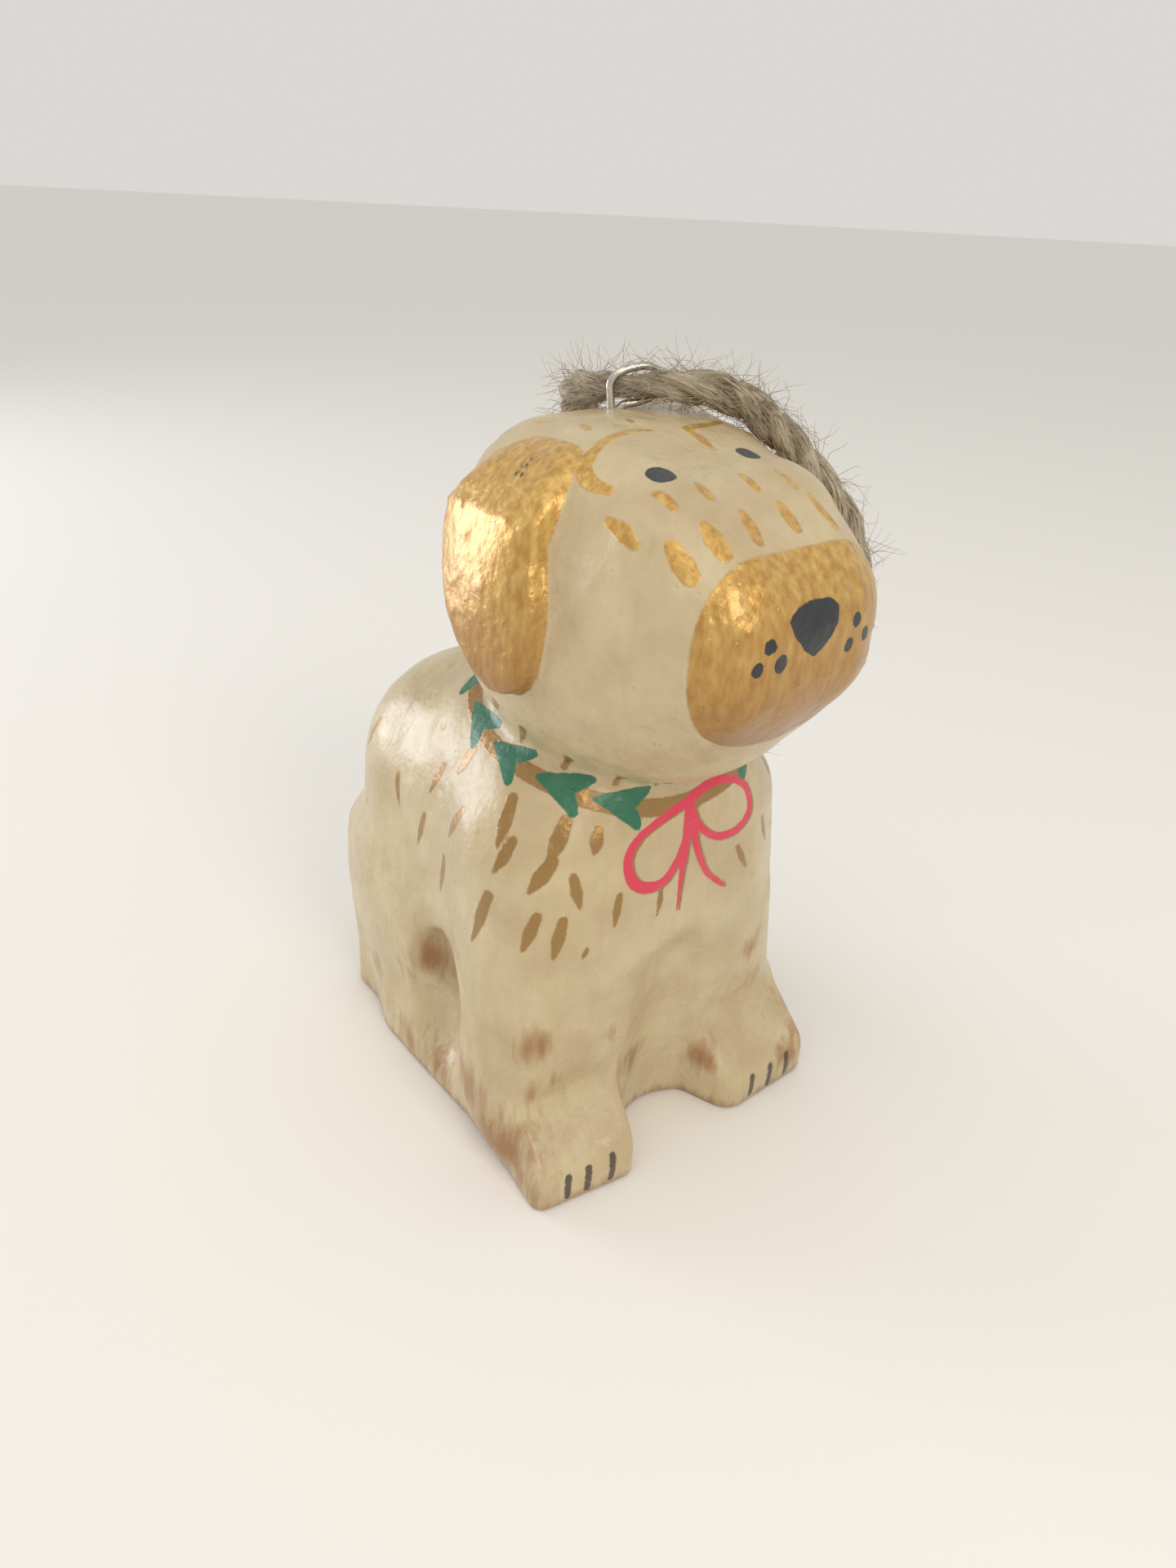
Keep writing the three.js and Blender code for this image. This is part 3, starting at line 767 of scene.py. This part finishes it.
# The screw eye: one bright steel wire, 1 mm thick, its shank in the crown's bore. It is bent over
# and round into a ring that leans in its own plane, and its end stands on the wood.
wire_diameter = 1.0
eye_inside = (5.4, 3.0)
eye_offset = 1.8
eye_turn = math.radians(-22)
eye_tilt = math.radians(13)
eye_squareness = 0.8
shank_length = 9
shank_bend = 0.8
ring_rise = 0.6
eye_low = np.array(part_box("screw_eye")[0]) / MM
eye_foot = np.array([0.7, -7.6 + carving_middle[1], eye_low[2] + shank_length])
half_across, half_up = ((inside + wire_diameter) / 2 for inside in eye_inside)


def squared(value):
    return math.copysign(abs(value) ** eye_squareness, value)


ring = []
for n in range(61):
    angle = math.radians(-106 + n / 60 * 286)
    across, up = half_across * squared(math.cos(angle)), half_up * squared(math.sin(angle))
    tilted_across = across * math.cos(eye_tilt) - up * math.sin(eye_tilt)
    tilted_up = across * math.sin(eye_tilt) + up * math.cos(eye_tilt)
    ring.append((eye_offset + tilted_across, ring_rise + half_up + tilted_up))
wire = [(0.0, -shank_length), (0.0, -4.0)]
for n in range(8):
    angle = n / 8 * math.pi / 2
    across = ring[0][0] * (1 - math.cos(angle))
    wire.append((across, ring[0][1] + shank_bend * (math.sin(angle) - 1)))
wire += [*ring, (ring[-1][0] + 0.2, 0.0)]
wire_curve = bpy.data.curves.new("wire", "CURVE")
wire_curve.dimensions = "3D"
wire_curve.bevel_depth = wire_diameter / 2 * MM
wire_curve.bevel_resolution = 5
wire_curve.use_fill_caps = True
spline = wire_curve.splines.new("POLY")
spline.points.add(len(wire) - 1)
for point, (across, up) in zip(spline.points, wire):
    turned = eye_foot + (across * math.cos(eye_turn), across * math.sin(eye_turn), up)
    point.co = (*(turned * MM), 1)


def mesh_of(curve, name):
    """A curve with its thickness, as a mesh object of its own."""
    holder = bpy.data.objects.new("holder", curve)
    mesh = bpy.data.meshes.new_from_object(holder)
    bpy.data.objects.remove(holder)
    made = bpy.data.objects.new(name, mesh)
    mesh.shade_smooth()
    bpy.context.scene.collection.objects.link(made)
    return made


eye = mesh_of(wire_curve, "wire_screw_eye")

# Drawn steel wire, nickel plated: it gives the eye a bright line, with fine scratches along it
steel, tree = new_material("plated_steel_wire")
place = add(tree, "TexCoord").outputs["Object"]
in_mm = add(tree, "Mapping", inputs={"Vector": place, "Scale": (1000, 1000, 1000)}).outputs[0]
scratches = noise_in_mm(0.25, 3, (1, 1, 0.3))
shader = add(
    tree,
    "BsdfPrincipled",
    inputs={
        "Base Color": mixed(ramp(noise_in_mm(1.5, 2), 0.4, 0.7), linear("D8D6CE"), linear("B9B4A6")),
        "Metallic": 1.0,
        "Roughness": ramp(scratches, 0.3, 0.7, 0.14, 0.28),
    },
)
add(tree, "OutputMaterial", inputs={"Surface": shader.outputs[0]})
eye.data.materials.clear()
eye.data.materials.append(steel)
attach(eye, "root")
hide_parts("screw_eye")

# The cord: a limp jute twine of three strands laid up together. It comes out of its knot at the
# dog's left side, goes up behind the left ear, through the ring, and down past the muzzle back
# to the knot. The route repeats the solid's own points, in metres.
cord_route = [
    (0.0270, 0.00315, 0.0336),
    (0.0266, 0.00555, 0.0410),
    (0.0256, 0.00735, 0.0486),
    (0.0244, 0.00835, 0.0564),
    (0.0232, 0.00875, 0.0642),
    (0.0220, 0.00875, 0.0718),
    (0.0204, 0.00895, 0.0792),
    (0.0174, 0.01035, 0.0858),
    (0.0132, 0.01175, 0.0914),
    (0.0084, 0.01165, 0.0958),
    (0.0039, 0.00875, 0.0993),
    (0.0014, 0.00465, 0.1011),
    (0.0009, -0.00005, 0.1021),
    (0.0022, -0.00465, 0.1027),
    (0.0042, -0.00775, 0.1031),
    (0.0069, -0.00995, 0.1030),
    (0.0104, -0.01145, 0.1024),
    (0.0138, -0.01235, 0.1010),
    (0.0169, -0.01355, 0.0988),
    (0.0196, -0.01555, 0.0959),
    (0.0219, -0.01815, 0.0924),
    (0.0235, -0.02095, 0.0889),
    (0.0244, -0.02305, 0.0850),
    (0.0250, -0.02385, 0.0809),
    (0.0256, -0.02325, 0.0766),
    (0.0260, -0.02115, 0.0720),
    (0.0262, -0.01785, 0.0668),
    (0.0264, -0.01385, 0.0612),
    (0.0265, -0.00985, 0.0550),
    (0.0273, -0.00625, 0.0482),
    (0.0273, -0.00345, 0.0410),
    (0.0271, -0.00165, 0.0336),
]
strand_radius = 0.00122
lay_radius = 0.00112
lay_length = 0.0185
ring_place = 13  # the route's point in the middle of the ring


def along_line(line):
    return np.concatenate([[0], np.cumsum(np.linalg.norm(np.diff(line, axis=0), axis=1))])


def spaced_along(line, step):
    """The line again, with points evenly spaced along it."""
    way = along_line(line)
    at = np.linspace(0, way[-1], round(way[-1] / step) + 1)
    return np.stack([np.interp(at, way, line[:, k]) for k in range(3)], axis=1)


def frames_along(line):
    """Two directions across a line at each of its points, carried along without twist."""
    ahead = np.gradient(line, axis=0)
    ahead /= np.linalg.norm(ahead, axis=1)[:, None]
    side = np.cross(ahead[0], (0.3, 1, 0.2))
    sides = []
    for way in ahead:
        side = side - way * (side @ way)
        side /= np.linalg.norm(side)
        sides.append(side)
    return np.array(sides), np.cross(ahead, sides)


def strands_along(line, slimness, first_turn=0.0, count=3):
    """The middle lines of a cord's strands, wound round the cord's own middle line."""
    side, other = frames_along(line)
    way = along_line(line)
    made = []
    for number in range(count):
        turn = first_turn + 2 * math.pi * (way / lay_length + number / count)
        out = np.cos(turn)[:, None] * side + np.sin(turn)[:, None] * other
        made.append(line + lay_radius * slimness[:, None] * out)
    return made


def rope_mesh(name, lines):
    """Strands as one mesh. Each line has its own thickness at each point, and two attributes
    say how far along its strand and how far round it each corner is."""
    curve = bpy.data.curves.new(name, "CURVE")
    curve.dimensions = "3D"
    curve.bevel_depth = 1.0
    curve.bevel_resolution = 4
    for line, radii in lines:
        spline = curve.splines.new("POLY")
        spline.points.add(len(line) - 1)
        spline.points.foreach_set("co", np.hstack([line, np.ones((len(line), 1))]).ravel())
        spline.points.foreach_set("radius", radii)
    made = mesh_of(curve, name)
    sides = len(made.data.vertices) // sum(len(line) for line, _ in lines)
    along = np.concatenate([np.repeat(along_line(line) / MM, sides) for line, _ in lines])
    turn = 2 * math.pi * (np.arange(len(along)) % sides) / sides
    for label, values in (("along", along), ("across", np.cos(turn)), ("around", np.sin(turn))):
        layer = made.data.attributes.new(label, "FLOAT", "POINT")
        layer.data.foreach_set("value", values.astype(np.float32))
    return made


cord_line = spaced_along(curve_through(cord_route, 12), 0.0006)
cord_way = along_line(cord_line)
ring_way = cord_way[np.linalg.norm(cord_line - cord_route[ring_place], axis=1).argmin()]
squeezed = 1 - 0.4 * np.exp(-(((cord_way - ring_way) / 0.006) ** 2))
cord_strands = [(line, strand_radius * squeezed) for line in strands_along(cord_line, squeezed)]
cord = rope_mesh("jute_cord", cord_strands)

# The knot: the cord's two ends tied together in one overhand knot, with a short tail of each.
# It is pulled tight and hangs free at the dog's left side.
knot_middle = np.array((0.0274, 0.00075, 0.0264))
knot_lines = [
    [
        (0.0270, -0.0017, 0.0345),
        (0.0268, -0.0022, 0.0290),
        (0.0272, -0.0026, 0.0230),
        (0.0282, -0.0037, 0.0145),
    ],
    [
        (0.0270, 0.0032, 0.0345),
        (0.0272, 0.0032, 0.0290),
        (0.0278, 0.0036, 0.0230),
        (0.0276, 0.0050, 0.0135),
    ],
]
wrap = []
for n in range(34):
    turn = 2 * math.pi * n / 24
    rise = 0.0032 - 0.0062 * n / 33 + 0.0012 * math.sin(turn)
    wrap.append(knot_middle + (0.0020 * math.cos(turn), 0.0040 * math.sin(turn), rise))
knot_lines.append(wrap)
knot_strands = []
for number, points in enumerate(knot_lines):
    line = spaced_along(curve_through(points, 8), 0.0005)
    slim = np.full(len(line), 0.9)
    slim[-3:] = (0.85, 0.8, 0.7)
    knot_strands += [(strand, strand_radius * slim) for strand in strands_along(line, slim, number)]
knot = rope_mesh("jute_knot", knot_strands)

# Loose fibres of the jute, as fine as hairs: most lie close along the strands, some stand off
# them, and there are more where the cord is worn by the ring.
fibres = bpy.data.curves.new("fibres", "CURVE")
fibres.dimensions = "3D"
fibres.bevel_depth = 0.00004
fibres.bevel_resolution = 0
cord_side, cord_other = frames_along(cord_line)
ring_index = np.abs(cord_way - ring_way).argmin()
for number in range(1500):
    n = seed.integers(4, len(cord_line) - 4)
    if number % 3 == 0:
        n = int(np.clip(seed.normal(ring_index + 12, 22), 4, len(cord_line) - 5))
    turn = seed.uniform(0, 2 * math.pi)
    out = math.cos(turn) * cord_side[n] + math.sin(turn) * cord_other[n]
    ahead = (cord_line[n + 1] - cord_line[n - 1]) * seed.choice((-1, 1))
    ahead /= np.linalg.norm(ahead)
    stands_off = number % 4 == 0
    place = cord_line[n] + 0.0020 * squeezed[n] * out
    way = out * (0.8 if stands_off else 0.12) + ahead * seed.uniform(0.3, 1.3)
    points = [place]
    for _ in range(5):
        way = way + seed.normal(0, 0.35 if stands_off else 0.22, 3)
        way /= np.linalg.norm(way)
        points.append(points[-1] + way * seed.uniform(0.0005, 0.0014))
    spline = fibres.splines.new("POLY")
    spline.points.add(len(points) - 1)
    spline.points.foreach_set("co", np.hstack([points, np.ones((len(points), 1))]).ravel())
    spline.points.foreach_set("radius", np.linspace(1, 0.4, len(points)))
fuzz = mesh_of(fibres, "jute_fibres")

# Jute: matt bast fibres, grey-brown and drawn out along each strand, with paler and darker ones.
# A real fibre is too fine to show, so they are drawn coarser.
jute, tree = new_material("jute_fibre")
place = add(tree, "TexCoord").outputs["Object"]
in_mm = add(tree, "Mapping", inputs={"Vector": place, "Scale": (1000, 1000, 1000)}).outputs[0]
laid = {
    axis: add(tree, "Attribute", {"attribute_name": label}).outputs["Fac"]
    for axis, label in (("X", "along"), ("Y", "across"), ("Z", "around"))
}
on_strand = add(tree, "CombineXYZ", inputs=laid).outputs[0]
drawn_out = add(tree, "Mapping", inputs={"Vector": on_strand, "Scale": (0.35, 2.6, 2.6)}).outputs[0]
lines = add(tree, "TexNoise", inputs={"Vector": drawn_out, "Scale": 1.6, "Detail": 4}).outputs[0]
shade = mixed(ramp(lines, 0.36, 0.64), linear("5F4F3C"), linear("C2B296"))
shade = mixed(ramp(noise_in_mm(4, 2), 0.45, 0.65, 0, 0.45), shade, linear("D2C6B0"))
bump = add(tree, "Bump", inputs={"Height": lines, "Strength": 1.0, "Distance": 0.5 * MM}).outputs[0]
shader = add(
    tree,
    "BsdfPrincipled",
    inputs={"Base Color": shade, "Roughness": 0.85, "Normal": bump, "Sheen Weight": 0.25},
)
add(tree, "OutputMaterial", inputs={"Surface": shader.outputs[0]})
for piece in (cord, knot, fuzz):
    piece.data.materials.clear()
    piece.data.materials.append(jute)
    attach(piece, "root")
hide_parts("cord_loop")
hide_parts("cord_knot")

# The studio: a pale floor, a wide soft light from ahead and above, and a window's light from
# behind the dog's right shoulder
floor_mesh = bpy.data.meshes.new("floor")
ground = bmesh.new()
bmesh.ops.create_grid(ground, x_segments=1, y_segments=1, size=30.0)
ground.to_mesh(floor_mesh)
ground.free()
floor = bpy.data.objects.new("floor", floor_mesh)
floor.location.z = -0.0002
bpy.context.scene.collection.objects.link(floor)

# Plain matt paper, near white, that takes a soft shadow
pale, tree = new_material("pale_paper")
shader = add(tree, "BsdfPrincipled", inputs={"Base Color": linear("F2F0EC"), "Roughness": 0.9})
add(tree, "OutputMaterial", inputs={"Surface": shader.outputs[0]})
floor_mesh.materials.append(pale)


def soft_light(name, azimuth, elevation, distance, size, watts, shade):
    """A square area light, turned towards the dog's middle."""
    lamp = bpy.data.lights.new(name, "AREA")
    lamp.size = size
    lamp.energy = watts
    lamp.color = linear(shade)[:3]
    holder = bpy.data.objects.new(name, lamp)
    a, e = math.radians(azimuth), math.radians(elevation)
    back = Vector((math.sin(a) * math.cos(e), -math.cos(a) * math.cos(e), math.sin(e)))
    holder.location = Vector((0, 0, 0.05)) + back * distance
    holder.rotation_euler = back.to_track_quat("Z", "Y").to_euler()
    bpy.context.scene.collection.objects.link(holder)


soft_light("front_light", -10, 36, 0.6, 0.2, 0.9, "FFF6E8")
soft_light("window_light", -150, 8, 0.7, 0.3, 1.8, "F4F6FF")
soft_light("top_light", -60, 70, 0.8, 0.5, 0.9, "FFFBF2")
world = bpy.data.worlds.new("studio")
world.use_nodes = True
world.node_tree.nodes["Background"].inputs["Color"].default_value = linear("FFFDF8")
world.node_tree.nodes["Background"].inputs["Strength"].default_value = 0.7
bpy.context.scene.world = world
bpy.context.scene.view_settings.view_transform = "Standard"

# The camera looks down on the dog from ahead of its right side, as the photograph does
camera_azimuth = math.radians(-40.4)
camera_elevation = math.radians(27.95)
camera_roll = math.radians(3.02)
camera_place = np.array([-89.05, -110.85, 121.04]) + carving_middle
focal_pixels = 1323.47
frame_height = 1920
back = Vector(
    (
        math.sin(camera_azimuth) * math.cos(camera_elevation),
        -math.cos(camera_azimuth) * math.cos(camera_elevation),
        math.sin(camera_elevation),
    )
)
level = Vector((math.cos(camera_azimuth), math.sin(camera_azimuth), 0))
upright = back.cross(level)
right = math.cos(camera_roll) * level + math.sin(camera_roll) * upright
up = back.cross(right)
lens = bpy.data.cameras.new("camera")
lens.sensor_width = 36
lens.lens = focal_pixels * lens.sensor_width / frame_height
lens.clip_start = 0.01
camera = bpy.data.objects.new("camera", lens)
camera.matrix_world = Matrix.Translation(Vector(camera_place * MM)) @ (
    Matrix((right, up, back)).transposed().to_4x4()
)
bpy.context.scene.collection.objects.link(camera)
bpy.context.scene.camera = camera
